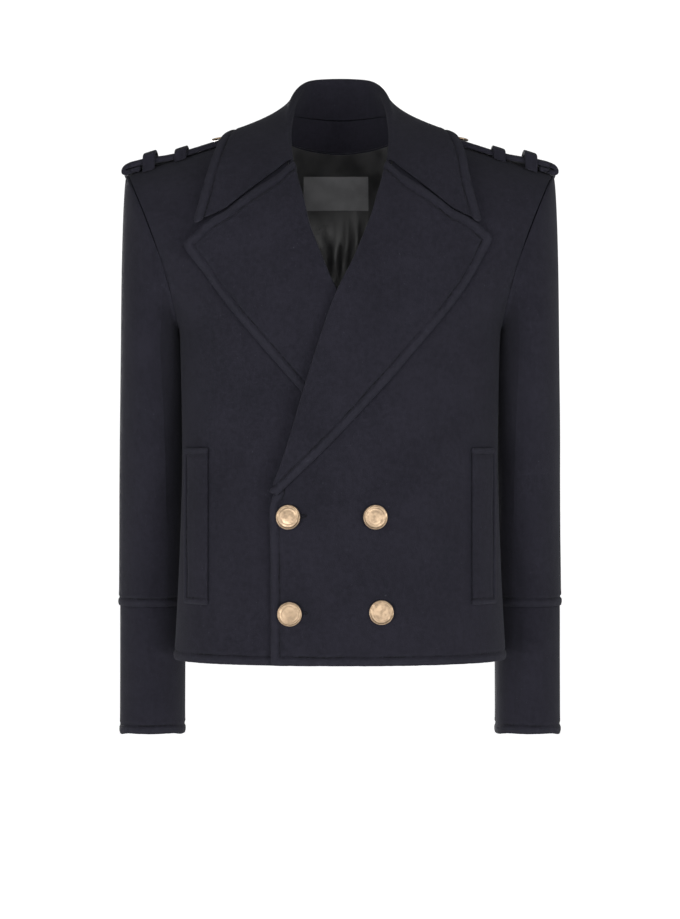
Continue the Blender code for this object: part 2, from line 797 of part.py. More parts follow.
def add_buttons():
    for index, (x, z) in enumerate(FRONT_BUTTONS, start=1):
        near = body_point("front", x, z, overlap_lift(x, z) - BUTTON_SINK)
        normal = (body_point("front", x, z, 0.01) - body_point("front", x, z)).normalized()
        button(f"button_{index}", near, normal, BUTTON_RADIUS)
    for name, sign in (("left", 1), ("right", -1)):
        x = 0.1415
        above = ridge(x) + STRAP_LIFT + STRAP_WALL
        normal = Vector((sign * SHOULDER_SLOPE, 0, 1)).normalized()
        button("strap_button_" + name, Vector((sign * x, 0, above + 0.0001)), normal, STRAP_BUTTON_RADIUS)


def moved_in(grid, distance):
    """The grid's points, moved inwards, with those on the middle line kept there."""
    moved = []
    for row, normals in zip(grid, grid_normals(grid)):
        points = [point + Vector(normal) * distance for point, normal in zip(row, normals)]
        if row[0].x == 0:
            points[0].x = 0
        moved.append(points)
    return moved


def add_lining():
    """The lining of the back, inside the back panel, and the patch sewn on it."""
    outer = panel_grid("back")
    kept = [[outer[row][column] for column in LINING_COLUMNS] for row in LINING_ROWS]
    lining = moved_in(kept, WALL + LINING_GAP)
    cloth("back_lining", lining, finish="lining", wall=LINING_WALL, flip=True, mirror=True)
    grid = []
    inside = WALL + LINING_GAP + LINING_WALL + LINING_GAP
    for row in range(4):
        z = LABEL["bottom_z"] + (LABEL["top_z"] - LABEL["bottom_z"]) * row / 3
        line = []
        for column in range(7):
            x = LABEL["centre_x"] + LABEL["half_width"] * (column / 3 - 1)
            line.append(body_point("back", x, z, -inside))
        grid.append(line)
    cloth("label", grid, finish="label", wall=0.0008, flip=True)


def main():
    for obj in list(bpy.data.objects):
        bpy.data.objects.remove(obj, do_unlink=True)
    add_body()
    add_lapels()
    add_collar()
    add_sleeves()
    add_cuffs()
    add_welts()
    add_straps()
    add_loops()
    add_buttons()
    add_lining()


main()
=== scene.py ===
import math

import bmesh
import bpy
from mathutils import Matrix, Vector, noise
from mathutils.bvhtree import BVHTree
from mathutils.geometry import intersect_point_line
from mathutils.kdtree import KDTree


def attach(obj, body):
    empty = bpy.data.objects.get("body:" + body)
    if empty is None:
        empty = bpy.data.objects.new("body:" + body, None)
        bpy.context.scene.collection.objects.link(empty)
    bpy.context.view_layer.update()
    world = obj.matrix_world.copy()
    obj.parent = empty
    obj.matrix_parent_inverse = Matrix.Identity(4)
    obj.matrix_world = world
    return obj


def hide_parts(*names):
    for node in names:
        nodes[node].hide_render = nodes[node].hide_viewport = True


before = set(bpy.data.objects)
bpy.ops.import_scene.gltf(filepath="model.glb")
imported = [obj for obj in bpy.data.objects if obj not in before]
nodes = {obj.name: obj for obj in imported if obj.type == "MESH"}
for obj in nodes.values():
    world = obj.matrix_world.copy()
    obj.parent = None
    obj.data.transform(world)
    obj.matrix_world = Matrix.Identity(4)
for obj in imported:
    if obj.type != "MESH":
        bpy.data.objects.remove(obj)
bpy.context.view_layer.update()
scene = bpy.context.scene
print("frame loaded:", len(nodes), "nodes")

# camera at the photograph's place: level, straight in front of the chest
camera = {"distance": 2.6, "height": -0.380, "metresPerPixel": 0.00118, "pixelsHigh": 919, "sensor": 24.0}
cameraData = bpy.data.cameras.new("camera")
cameraData.sensor_fit = "VERTICAL"
cameraData.sensor_height = camera["sensor"]
cameraData.lens = camera["sensor"] * camera["distance"] / (camera["pixelsHigh"] * camera["metresPerPixel"])
cameraObject = bpy.data.objects.new("camera", cameraData)
cameraObject.location = (0.0, -camera["distance"], camera["height"])
cameraObject.rotation_euler = (math.radians(90), 0.0, 0.0)
scene.collection.objects.link(cameraObject)
scene.camera = cameraObject
scene.view_settings.view_transform = "Standard"


def newGroup(name, inputs, outputs):
    group = bpy.data.node_groups.new(name, "ShaderNodeTree")
    for socketName, kind, value in inputs:
        socket = group.interface.new_socket(name=socketName, in_out="INPUT", socket_type=kind)
        if value is not None:
            socket.default_value = value
    for socketName, kind in outputs:
        group.interface.new_socket(name=socketName, in_out="OUTPUT", socket_type=kind)
    return group, group.nodes.new("NodeGroupInput"), group.nodes.new("NodeGroupOutput")


def noiseNode(tree, vector, scale, detail=3.0, roughness=0.5):
    node = tree.nodes.new("ShaderNodeTexNoise")
    node.inputs["Scale"].default_value = scale
    node.inputs["Detail"].default_value = detail
    node.inputs["Roughness"].default_value = roughness
    tree.links.new(vector, node.inputs["Vector"])
    return node.outputs["Fac"]


def mathNode(tree, operation, first, second):
    node = tree.nodes.new("ShaderNodeMath")
    node.operation = operation
    for socket, value in zip(node.inputs, (first, second)):
        if isinstance(value, (int, float)):
            socket.default_value = value
        else:
            tree.links.new(value, socket)
    return node.outputs[0]


def rangeNode(tree, value, low, high, toLow=0.0, toHigh=1.0):
    node = tree.nodes.new("ShaderNodeMapRange")
    node.interpolation_type = "SMOOTHSTEP"
    tree.links.new(value, node.inputs["Value"])
    for name, number in (("From Min", low), ("From Max", high), ("To Min", toLow), ("To Max", toHigh)):
        node.inputs[name].default_value = number
    return node.outputs["Result"]


def mixColour(tree, amount, first, second):
    node = tree.nodes.new("ShaderNodeMix")
    node.data_type = "RGBA"
    for socket, value in ((node.inputs["Factor"], amount), (node.inputs["A"], first), (node.inputs["B"], second)):
        if isinstance(value, bpy.types.NodeSocket):
            tree.links.new(value, socket)
        else:
            socket.default_value = value
    return node.outputs["Result"]


# each noise is its scale, detail and roughness, and each share says how much it counts for
feltValues = {
    "broad": (18.0, 3.0, 0.5), "mottle": (190.0, 4.0, 0.65), "nap": (820.0, 5.0, 0.7), "lint": (410.0, 1.0, 0.5),
    "broadShade": 0.20, "mottleShade": 0.42, "napShade": 0.38, "shadeRange": (0.36, 0.64),
    "lintRange": (0.76, 0.82), "napHeight": 0.6, "mottleHeight": 0.4,
}


def buildFeltGroup(values):
    # felted surface: broad shade patches, mottle, short nap and a few pale specks of lint
    group, start, end = newGroup(
        "feltedNap",
        [("Vector", "NodeSocketVector", None), ("Deep", "NodeSocketColor", (0.01, 0.01, 0.014, 1)),
         ("Raised", "NodeSocketColor", (0.02, 0.02, 0.026, 1)),
         ("Lint", "NodeSocketColor", (0.06, 0.06, 0.07, 1))],
        [("Color", "NodeSocketColor"), ("Height", "NodeSocketFloat")],
    )
    vector = start.outputs["Vector"]
    broad = noiseNode(group, vector, *values["broad"])
    mottle = noiseNode(group, vector, *values["mottle"])
    nap = noiseNode(group, vector, *values["nap"])
    shade = mathNode(group, "ADD", mathNode(group, "MULTIPLY", broad, values["broadShade"]),
                     mathNode(group, "MULTIPLY", mottle, values["mottleShade"]))
    shade = mathNode(group, "ADD", shade, mathNode(group, "MULTIPLY", nap, values["napShade"]))
    raised = rangeNode(group, shade, *values["shadeRange"])
    colour = mixColour(group, raised, start.outputs["Deep"], start.outputs["Raised"])
    lint = rangeNode(group, noiseNode(group, vector, *values["lint"]), *values["lintRange"])
    colour = mixColour(group, lint, colour, start.outputs["Lint"])
    height = mathNode(group, "ADD", mathNode(group, "MULTIPLY", nap, values["napHeight"]),
                      mathNode(group, "MULTIPLY", mottle, values["mottleHeight"]))
    group.links.new(colour, end.inputs["Color"])
    group.links.new(height, end.inputs["Height"])
    return group


weaveValues = {"patches": (40.0, 3.0), "patchRange": (0.35, 0.65)}


def buildWeaveGroup(values):
    # fine over-and-under threads and broad patches of shade, for the lining and the patch
    group, start, end = newGroup(
        "fineWeave",
        [("Vector", "NodeSocketVector", None), ("Threads", "NodeSocketFloat", 2000.0)],
        [("Height", "NodeSocketFloat"), ("Mask", "NodeSocketFloat")],
    )
    split = group.nodes.new("ShaderNodeSeparateXYZ")
    group.links.new(start.outputs["Vector"], split.inputs[0])
    threads = start.outputs["Threads"]
    across = mathNode(group, "SINE", mathNode(group, "MULTIPLY", split.outputs["X"], threads), 0.0)
    along = mathNode(group, "SINE", mathNode(group, "MULTIPLY", split.outputs["Z"], threads), 0.0)
    height = rangeNode(group, mathNode(group, "MULTIPLY", across, along), -1.0, 1.0)
    group.links.new(height, end.inputs["Height"])
    patches = noiseNode(group, start.outputs["Vector"], *values["patches"])
    group.links.new(rangeNode(group, patches, *values["patchRange"]), end.inputs["Mask"])
    return group


# the ranges are low, high and what they turn into, the last two in metres from the line
lineValues = {
    "grooveRange": (0.25, 1.0, 1.0, 0.0),
    "stretch": (26.0, 2.0), "stretchRange": (0.40, 0.60, 0.25, 1.0),
    "dashes": (430.0, 1.0), "dashRange": (0.40, 0.56, 0.15, 1.0),
    "ridgeRise": (-0.0105, -0.0065), "ridgeFall": (-0.0045, -0.0012, 1.0, 0.0),
}


def buildStitchGroup(values):
    # Line is 1 on the stitch line, plus the distance from it. Groove is the sunk thread (bump and painted shade),
    # and Ridge the padded cloth between the line and the cut edge, used for a painted highlight
    group, start, end = newGroup(
        "stitchedEdge",
        [("Vector", "NodeSocketVector", None), ("Line", "NodeSocketFloat", 0.0),
         ("Width", "NodeSocketFloat", 0.001)],
        [("Groove", "NodeSocketFloat"), ("Ridge", "NodeSocketFloat")],
    )
    gap = mathNode(group, "SUBTRACT", start.outputs["Line"], 1.0)
    share = mathNode(group, "DIVIDE", mathNode(group, "ABSOLUTE", gap, 0.0), start.outputs["Width"])
    groove = rangeNode(group, share, *values["grooveRange"])
    vector = start.outputs["Vector"]
    stretch = rangeNode(group, noiseNode(group, vector, *values["stretch"]), *values["stretchRange"])
    dashes = rangeNode(group, noiseNode(group, vector, *values["dashes"]), *values["dashRange"])
    uneven = mathNode(group, "MULTIPLY", stretch, dashes)
    group.links.new(mathNode(group, "MULTIPLY", groove, uneven), end.inputs["Groove"])
    rise = rangeNode(group, gap, *values["ridgeRise"])
    fall = rangeNode(group, gap, *values["ridgeFall"])
    group.links.new(mathNode(group, "MULTIPLY", rise, fall), end.inputs["Ridge"])
    return group


def newMaterial(name, settings):
    material = bpy.data.materials.new(name)
    material.use_nodes = True
    tree = material.node_tree
    shader = tree.nodes["Principled BSDF"]
    for socketName, value in settings.items():
        shader.inputs[socketName].default_value = value
    coordinates = tree.nodes.new("ShaderNodeTexCoord")
    mapping = tree.nodes.new("ShaderNodeMapping")  # moves or turns the pattern on the piece
    tree.links.new(coordinates.outputs["Object"], mapping.inputs["Vector"])
    return material, tree, shader, mapping.outputs["Vector"]


def addBump(tree, shader, height, strength, distance):
    bump = tree.nodes.new("ShaderNodeBump")
    bump.inputs["Strength"].default_value = strength
    bump.inputs["Distance"].default_value = distance
    tree.links.new(height, bump.inputs["Height"])
    tree.links.new(bump.outputs["Normal"], shader.inputs["Normal"])


feltedNap = buildFeltGroup(feltValues)
fineWeave = buildWeaveGroup(weaveValues)
stitchedEdge = buildStitchGroup(lineValues)

woolFinish = {
    "deep": (0.0030, 0.0029, 0.0048, 1), "raised": (0.0061, 0.0058, 0.0090, 1),
    "lint": (0.018, 0.018, 0.024, 1), "shadow": (0.0007, 0.0007, 0.0011, 1),
    "grooveWidth": 0.0013, "groovePaintedShade": 0.85, "ridgePaintedHighlight": 0.10,
    "napStrength": 0.7, "napDepth": 0.0009,
    "shader": {"Roughness": 0.95, "Specular IOR Level": 0.08, "Sheen Weight": 0.02, "Sheen Roughness": 0.6,
               "Sheen Tint": (0.62, 0.64, 0.74, 1)},
}


def woolMaterial(name, finish):
    material, tree, shader, vector = newMaterial(name, finish["shader"])
    felt = tree.nodes.new("ShaderNodeGroup")
    felt.node_tree = feltedNap
    tree.links.new(vector, felt.inputs["Vector"])
    felt.inputs["Deep"].default_value = finish["deep"]
    felt.inputs["Raised"].default_value = finish["raised"]
    felt.inputs["Lint"].default_value = finish["lint"]
    line = tree.nodes.new("ShaderNodeAttribute")
    line.attribute_name = "stitchLine"
    stitched = tree.nodes.new("ShaderNodeGroup")
    stitched.node_tree = stitchedEdge
    stitched.inputs["Width"].default_value = finish["grooveWidth"]
    tree.links.new(vector, stitched.inputs["Vector"])
    tree.links.new(line.outputs["Fac"], stitched.inputs["Line"])
    # painted highlight: the ridge between the stitch line and the cut edge is lightened towards the lint colour
    ridge = mathNode(tree, "MULTIPLY", stitched.outputs["Ridge"], finish["ridgePaintedHighlight"])
    # painted shade: the stitch groove is darkened towards the shadow colour
    groove = mathNode(tree, "MULTIPLY", stitched.outputs["Groove"], finish["groovePaintedShade"])
    colour = mixColour(tree, ridge, felt.outputs["Color"], finish["lint"])
    tree.links.new(mixColour(tree, groove, colour, finish["shadow"]), shader.inputs["Base Color"])
    sunk = mathNode(tree, "SUBTRACT", felt.outputs["Height"], stitched.outputs["Groove"])
    addBump(tree, shader, sunk, finish["napStrength"], finish["napDepth"])
    return material


liningFinish = {
    "dark": (0.0062, 0.0062, 0.0065, 1), "pale": (0.0118, 0.0118, 0.0122, 1), "roughness": (0.38, 0.50),
    "threads": 5200.0, "threadStrength": 0.2, "threadDepth": 0.0002,
    "shader": {"Specular IOR Level": 0.22, "Anisotropic": 0.3},
}
patchFinish = {
    "dark": (0.055, 0.055, 0.057, 1), "pale": (0.072, 0.072, 0.074, 1), "roughness": (0.60, 0.70),
    "threads": 3400.0, "threadStrength": 0.2, "threadDepth": 0.0002,
    "shader": {"Specular IOR Level": 0.12},
}


def satinMaterial(name, finish):
    material, tree, shader, vector = newMaterial(name, finish["shader"])
    weave = tree.nodes.new("ShaderNodeGroup")
    weave.node_tree = fineWeave
    weave.inputs["Threads"].default_value = finish["threads"]
    tree.links.new(vector, weave.inputs["Vector"])
    mask = weave.outputs["Mask"]
    tree.links.new(mixColour(tree, mask, finish["dark"], finish["pale"]), shader.inputs["Base Color"])
    tree.links.new(rangeNode(tree, mask, 0.0, 1.0, *finish["roughness"]), shader.inputs["Roughness"])
    addBump(tree, shader, weave.outputs["Height"], finish["threadStrength"], finish["threadDepth"])
    return material


goldFinish = {
    "bright": (0.185, 0.135, 0.090, 1), "dull": (0.136, 0.099, 0.066, 1), "roughness": (0.36, 0.50),
    "patches": (220.0, 4.0), "patchRange": (0.35, 0.68),
    "grain": (900.0, 3.0), "grainStrength": 0.15, "grainDepth": 0.0003, "shader": {"Metallic": 1.0},
}


def goldMaterial(name, finish):
    material, tree, shader, vector = newMaterial(name, finish["shader"])
    patches = rangeNode(tree, noiseNode(tree, vector, *finish["patches"]), *finish["patchRange"])
    tree.links.new(mixColour(tree, patches, finish["bright"], finish["dull"]), shader.inputs["Base Color"])
    tree.links.new(rangeNode(tree, patches, 0.0, 1.0, *finish["roughness"]), shader.inputs["Roughness"])
    addBump(tree, shader, noiseNode(tree, vector, *finish["grain"]), finish["grainStrength"], finish["grainDepth"])
    return material


wool = woolMaterial("wool", woolFinish)
satin = satinMaterial("liningSatin", liningFinish)
patchCloth = satinMaterial("patchCloth", patchFinish)
gold = goldMaterial("paleGold", goldFinish)
threadFinish = dict(woolFinish, deep=(0.0016, 0.0016, 0.0024, 1), raised=(0.0040, 0.0040, 0.0056, 1))
thread = woolMaterial("navyThread", threadFinish)
print("materials made")


# soft folds. Each is its middle, its direction, the push, half its length and half its
# width. It ends at the cut-offs, counted in those halves, and within the reach along its push
creaseValues = {
    "reach": 0.040, "lengthCutoff": 1.6, "widthCutoff": 3.0,
    "folds": [
        # sleeves, front side: elbow and forearm
        ((-0.222, -0.020, -0.352), (1.0, 0.0, 0.35), (0, 0.0016, 0), 0.030, 0.0100),
        ((-0.232, -0.015, -0.383), (1.0, 0.0, 0.22), (0, 0.0013, 0), 0.024, 0.0085),
        ((-0.226, 0.000, -0.452), (1.0, 0.0, -0.30), (0, 0.0012, 0), 0.028, 0.0110),
        ((0.224, -0.020, -0.338), (1.0, 0.0, -0.30), (0, 0.0015, 0), 0.028, 0.0105),
        ((0.233, -0.012, -0.401), (1.0, 0.0, -0.18), (0, 0.0013, 0), 0.025, 0.0090),
        ((0.222, 0.004, -0.470), (1.0, 0.0, 0.26), (0, 0.0012, 0), 0.030, 0.0120),
        # the wearer's left cuff: one upright crease
        ((0.2085, 0.030, -0.640), (0.04, 0.0, 1.0), (0, 0.0022, 0), 0.060, 0.0042),
        # sleeves, back side
        ((-0.222, 0.085, -0.345), (1.0, 0.0, 0.30), (0, -0.0020, 0), 0.032, 0.0110),
        ((-0.226, 0.092, -0.392), (1.0, 0.0, -0.12), (0, -0.0017, 0), 0.028, 0.0100),
        ((0.223, 0.085, -0.350), (1.0, 0.0, -0.26), (0, -0.0019, 0), 0.030, 0.0115),
        ((0.226, 0.093, -0.405), (1.0, 0.0, 0.14), (0, -0.0016, 0), 0.030, 0.0095),
        # fronts: long soft undulations below the lapels and beside the armholes
        ((-0.120, -0.115, -0.330), (0.15, 0.0, 1.0), (0, 0.0016, 0), 0.085, 0.0200),
        ((0.118, -0.112, -0.470), (-0.10, 0.0, 1.0), (0, 0.0017, 0), 0.090, 0.0210),
        ((0.010, -0.130, -0.505), (0.55, 0.0, 1.0), (0, 0.0010, 0), 0.050, 0.0190),
        ((-0.140, -0.090, -0.215), (0.45, 0.0, 1.0), (0, 0.0015, 0), 0.040, 0.0130),
        ((0.145, -0.090, -0.225), (-0.50, 0.0, 1.0), (0, 0.0015, 0), 0.040, 0.0130),
        # back: upright folds at the waist, slanting ones below the armholes, one across the shoulders
        ((-0.085, 0.085, -0.430), (0.06, 0.0, 1.0), (0, -0.0024, 0), 0.110, 0.0200),
        ((0.070, 0.088, -0.450), (-0.05, 0.0, 1.0), (0, -0.0022, 0), 0.100, 0.0180),
        ((-0.012, 0.088, -0.500), (0.03, 0.0, 1.0), (0, -0.0017, 0), 0.075, 0.0160),
        ((-0.135, 0.070, -0.250), (-0.60, 0.0, 1.0), (0, -0.0020, 0), 0.050, 0.0140),
        ((0.140, 0.070, -0.262), (0.55, 0.0, 1.0), (0, -0.0020, 0), 0.048, 0.0130),
        ((0.020, 0.095, -0.120), (1.0, 0.0, 0.04), (0, -0.0014, 0), 0.070, 0.0180),
    ],
}

clothValues = {
    "mergeDistance": 1e-5, "joinAngle": 0.7, "joinShape": 1.6, "sharpAngle": 50.0, "levels": 2,
    "edgeRound": 0.0009, "edgeSegments": 2, "cornerLength": 0.0062, "cornerSlack": 0.0006, "cornerSegments": 4,
    "seamReach": 0.0009,
    # short edges beside the stitching
    "bandHalfWidth": 0.0046, "bandCell": 0.0024, "bandPasses": 5, "longCell": 1.5,
    # how far a point looks out for the next layer, and the gaps at which it counts as covered and as clear
    "lookFrom": 0.0012, "lookFar": 0.008, "coveredGap": 0.001, "clearGap": 0.005,
}

stitchValues = {
    "inset": 0.0098, "rimStep": 0.0012, "farthest": 0.012,
    "wander": 0.0008, "wanderScale": 38.0, "wanderStart": (5, 1, 3),
    "waveScale": 60.0, "pucker": 0.00030, "puckerScale": 210.0,
    "groove": 0.00125, "grooveWidth": 0.0014, "grooveWave": 0.8,
    "puff": 0.00085, "puffWave": 0.3, "puffPower": 0.7,
    "shoulder": 0.00030, "shoulderPast": 0.0035, "shoulderWidth": 0.0028,
}


def allSurfaces():
    # every node's surface in one tree, to feel how close the next layer of cloth lies
    whole = bmesh.new()
    for node in nodes.values():
        whole.from_mesh(node.data)
    tree = BVHTree.FromBMesh(whole)
    whole.free()
    return tree


surfaces = allSurfaces()


def mergedCopy(name):
    mesh = bmesh.new()
    mesh.from_mesh(nodes[name].data)
    bmesh.ops.remove_doubles(mesh, verts=mesh.verts[:], dist=clothValues["mergeDistance"])
    bmesh.ops.join_triangles(mesh, faces=mesh.faces[:], angle_face_threshold=clothValues["joinAngle"],
                             angle_shape_threshold=clothValues["joinShape"])
    return mesh


def sharpEdges(mesh):
    limit = math.radians(clothValues["sharpAngle"])
    return [edge for edge in mesh.edges if len(edge.link_faces) == 2 and edge.calc_face_angle(0.0) > limit]


def nowhere(point):
    return False


def cornerEdges(mesh, chosen):
    # the short edges through the cloth's thickness at its outline's corners
    corners = []
    for edge in sharpEdges(mesh):
        length = edge.calc_length()
        sides = [side.calc_length() for face in edge.link_faces for side in face.edges]
        shortest = min(sides) > length - clothValues["cornerSlack"]
        if length < clothValues["cornerLength"] and chosen(edge.verts[0].co) and shortest:
            corners.append(edge)
    return corners


def bevelEdges(mesh, chosen, offset, segments):
    if chosen:
        bmesh.ops.bevel(mesh, geom=chosen, offset=offset, offset_type="OFFSET", affect="EDGES",
                        segments=segments, profile=0.5, clamp_overlap=True, material=-1)


def closeSeam(mesh, tight):
    # the cut faces of a seam, between two sharp edges, move out to the next piece, so no slit shows
    limit = math.radians(clothValues["sharpAngle"])
    faces = [face for face in mesh.faces if tight(face.calc_center_median())
             and sum(1 for edge in face.edges if edge.calc_face_angle(0.0) > limit) > 1]
    offsets = {}
    for face in faces:
        for vertex in face.verts:
            offsets.setdefault(vertex, Vector())
            offsets[vertex] += face.normal
    for vertex, offset in offsets.items():
        vertex.co += offset.normalized() * clothValues["seamReach"]


def roundedMesh(mesh, levels, rounding, corners, tight):
    # rounded outline corners, soft cut edges (kept sharp along tight seams), then a smooth surface
    for chosen, radius, push in corners:
        tips = cornerEdges(mesh, chosen)
        for vertex in {vertex for edge in tips for vertex in edge.verts}:
            vertex.co += Vector((math.copysign(push[0], vertex.co.x), push[1], push[2]))
        bevelEdges(mesh, tips, radius, clothValues["cornerSegments"])
    closeSeam(mesh, tight)
    crease = mesh.edges.layers.float.new("crease_edge")
    cut = []
    for edge in sharpEdges(mesh):
        if tight((edge.verts[0].co + edge.verts[1].co) / 2):
            edge[crease] = 1.0
        else:
            cut.append(edge)
    bevelEdges(mesh, cut, rounding, clothValues["edgeSegments"])
    data = bpy.data.meshes.new("draft")
    mesh.to_mesh(data)
    mesh.free()
    draft = bpy.data.objects.new("draft", data)
    scene.collection.objects.link(draft)
    smooth = draft.modifiers.new("smooth", "SUBSURF")
    smooth.levels = levels
    smooth.render_levels = levels
    evaluated = draft.evaluated_get(bpy.context.evaluated_depsgraph_get())
    result = bmesh.new()
    result.from_mesh(evaluated.to_mesh())
    evaluated.to_mesh_clear()
    bpy.data.objects.remove(draft)
    bpy.data.meshes.remove(data)
    return result


def foldOffset(point, folds):
    moved = Vector((0, 0, 0))
    for middle, direction, push, halfLength, halfWidth in folds:
        away = point - Vector(middle)
        along = Vector(direction).normalized()
        outward = Vector(push).normalized()
        run = away.dot(along)
        height = away.dot(outward)
        across = (away - along * run - outward * height).length
        if (abs(run) > creaseValues["lengthCutoff"] * halfLength or abs(height) > creaseValues["reach"]
                or across > creaseValues["widthCutoff"] * halfWidth):
            continue
        strength = math.exp(-(run / halfLength) ** 4) * math.exp(-(across / halfWidth) ** 2)
        moved += Vector(push) * strength
    return moved


def shiftOffset(point, shifts):
    # cloth drawn along its own surface, most beside the line from start to end
    moved = Vector((0, 0, 0))
    for start, end, push, radius in shifts:
        nearest, share = intersect_point_line(point, Vector(start), Vector(end))
        if share < 0 or share > 1:
            nearest = Vector(start) if share < 0 else Vector(end)
        moved += Vector(push) * math.exp(-((point - nearest).length / radius) ** 2)
    return moved


def rimTree(mesh, stitched):
    # points every millimetre or so along the sharp edges that carry topstitching
    points = []
    for edge in sharpEdges(mesh):
        first, second = edge.verts[0].co, edge.verts[1].co
        if not stitched((first + second) / 2):
            continue
        steps = max(1, int((second - first).length / stitchValues["rimStep"]))
        points += [first.lerp(second, step / steps) for step in range(steps + 1)]
    if not points:
        return None
    tree = KDTree(len(points))
    for number, point in enumerate(points):
        tree.insert(point, number)
    tree.balance()
    return tree


def openness(vertex):
    # 0 where another layer lies close in front of the surface, 1 where nothing does
    start = vertex.co + vertex.normal * clothValues["lookFrom"]
    place, _, _, gap = surfaces.ray_cast(start, vertex.normal, clothValues["lookFar"])
    if place is None:
        return 1.0
    return max(0.0, min(1.0, (gap - clothValues["coveredGap"]) / clothValues["clearGap"]))


def refineBand(mesh, tree, inset):
    # short edges from the cut edge to just past the stitch line, so the ridge and groove have a shape
    outer = inset + clothValues["bandHalfWidth"]
    cell = clothValues["bandCell"]
    for _ in range(clothValues["bandPasses"]):
        distance = {vertex: tree.find(vertex.co)[2] for vertex in mesh.verts}
        edges = []
        for edge in mesh.edges:
            near, far = sorted(distance[vertex] for vertex in edge.verts)
            length = edge.calc_length()
            crossing = near < outer and far - near > cell and length > clothValues["longCell"] * cell
            if crossing or (far < outer and length > cell):
                edges.append(edge)
        if not edges:
            break
        bmesh.ops.subdivide_edges(mesh, edges=edges, cuts=1, use_grid_fill=True, smooth=0.0)


def lineInset(point, inset):
    # the stitch line isn't quite even
    start = Vector(stitchValues["wanderStart"])
    return inset + stitchValues["wander"] * noise.noise(point * stitchValues["wanderScale"] + start)


def stitchProfile(point, distance, line):
    # raised edge, pulled-in stitch line, and a slight rise past it, all a little uneven
    values = stitchValues
    wave = noise.noise(point * values["waveScale"])
    pucker = values["pucker"] * noise.noise(point * values["puckerScale"])
    gap = (distance - line) / values["grooveWidth"]
    height = -values["groove"] * (1.0 + values["grooveWave"] * wave) * math.exp(-gap * gap)
    if distance < line:
        puff = values["puff"] * (1.0 + values["puffWave"] * wave) + pucker
        height += puff * math.sin(math.pi * distance / line) ** values["puffPower"]
    else:
        past = (distance - line - values["shoulderPast"]) / values["shoulderWidth"]
        height += (values["shoulder"] + pucker) * math.exp(-past * past)
    return height


def finishPiece(name, mesh, material, replaced):
    data = bpy.data.meshes.new(name)
    mesh.to_mesh(data)
    mesh.free()
    data.polygons.foreach_set("use_smooth", [True] * len(data.polygons))
    data.materials.append(material)
    piece = bpy.data.objects.new(name, data)
    scene.collection.objects.link(piece)
    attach(piece, "root")
    if replaced:
        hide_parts(*replaced)
    return piece


def clothPiece(node, values):
    source = mergedCopy(node)
    tree = rimTree(source, values["stitched"]) if values.get("stitched") else None
    mesh = roundedMesh(source, values.get("levels", clothValues["levels"]),
                       values.get("round", clothValues["edgeRound"]),
                       values.get("corners", []), values.get("tight", nowhere))
    if tree:
        inset = values.get("inset", stitchValues["inset"])
        refineBand(mesh, tree, inset)
        mesh.normal_update()
        stitchLine = mesh.verts.layers.float.new("stitchLine")
        for vertex in mesh.verts:
            distance = tree.find(vertex.co)[2]
            line = lineInset(vertex.co, inset)
            vertex[stitchLine] = 1.0 + min(distance - line, stitchValues["farthest"])
            if distance < inset + stitchValues["farthest"]:
                vertex.co += vertex.normal * stitchProfile(vertex.co, distance, line) * openness(vertex)
    folds = creaseValues["folds"] + values.get("folds", [])
    shifts = values.get("shifts", [])
    for vertex in mesh.verts:
        vertex.co += foldOffset(vertex.co, folds)
        vertex.co += shiftOffset(vertex.co, shifts)
    material = values.get("material", wool)
    piece = finishPiece(values["name"], mesh, material, [node])
    print("cloth", values["name"], len(piece.data.polygons), "faces")


# which cut edges carry topstitching, by place in metres
edges = {
    "frontEdgeX": -0.068, "breakZ": -0.402, "hemZ": -0.600,
    "cuffSeamZ": -0.550, "cuffEndZ": -0.695, "sleeveSeamTopZ": -0.150,
    # the lapel's folded edge, height first, and how far beside it the stitching starts
    "rollLine": ((-0.417, -0.0770), (-0.381, -0.0635), (-0.301, -0.0410), (-0.187, -0.0040), (-0.099, 0.0316),
                 (-0.036, 0.0520)),
    "rollClear": 0.016, "rollNarrowing": 0.35, "rollNarrowZ": -0.385, "rollLeast": 0.004,
    "gorgeZ": -0.075, "gorgeRootX": 0.054, "gorgeRootZ": -0.043, "gorgeSlope": 0.60,
    "collarTip": (0.167, -0.111), "collarSlope": 0.727, "collarSide": 0.100, "collarClear": 0.010,
    "collarBackY": 0.030, "collarBackZ": 0.012, "tipX": 0.150,
    "weltMiddleX": 0.166, "weltTopZ": -0.3730, "weltLowZ": -0.5400, "strapEndX": 0.24,
}


def rollX(z):
    line = edges["rollLine"]
    for (lowZ, lowX), (highZ, highX) in zip(line, line[1:]):
        if z <= highZ or (highZ, highX) == line[-1]:
            return lowX + (highX - lowX) * max(0.0, min(1.0, (z - lowZ) / (highZ - lowZ)))


def frontLeftStitched(point):
    return (point.x < edges["frontEdgeX"] and point.z < edges["breakZ"]) or point.z < edges["hemZ"]


def hemStitched(point):
    return point.z < edges["hemZ"]


def sleeveStitched(point):
    return point.z < edges["cuffSeamZ"]


def sleeveSeam(point):
    return edges["cuffSeamZ"] < point.z < edges["sleeveSeamTopZ"]


def cuffStitched(point):
    return point.z < edges["cuffEndZ"]


def besideRoll(side, z):
    # clear of the folded edge, by less where the lapel narrows to its foot and at the gorge
    if z > edges["gorgeZ"]:
        return z > edges["gorgeRootZ"] - edges["gorgeSlope"] * (side - edges["gorgeRootX"])
    narrow = edges["rollClear"] + edges["rollNarrowing"] * min(0.0, z - edges["rollNarrowZ"])
    return side - rollX(z) > max(edges["rollLeast"], narrow)


def lapelLeftStitched(point):
    return besideRoll(point.x, point.z)


def lapelRightStitched(point):
    return besideRoll(-point.x, point.z)


def collarStitched(point):
    tipX, tipZ = edges["collarTip"]
    side = abs(point.x)
    lowerEdge = tipZ + (tipX - side) * edges["collarSlope"]
    atSide = side > edges["collarSide"] and point.z > lowerEdge + edges["collarClear"]
    return atSide or (point.y > edges["collarBackY"] and point.z < edges["collarBackZ"])


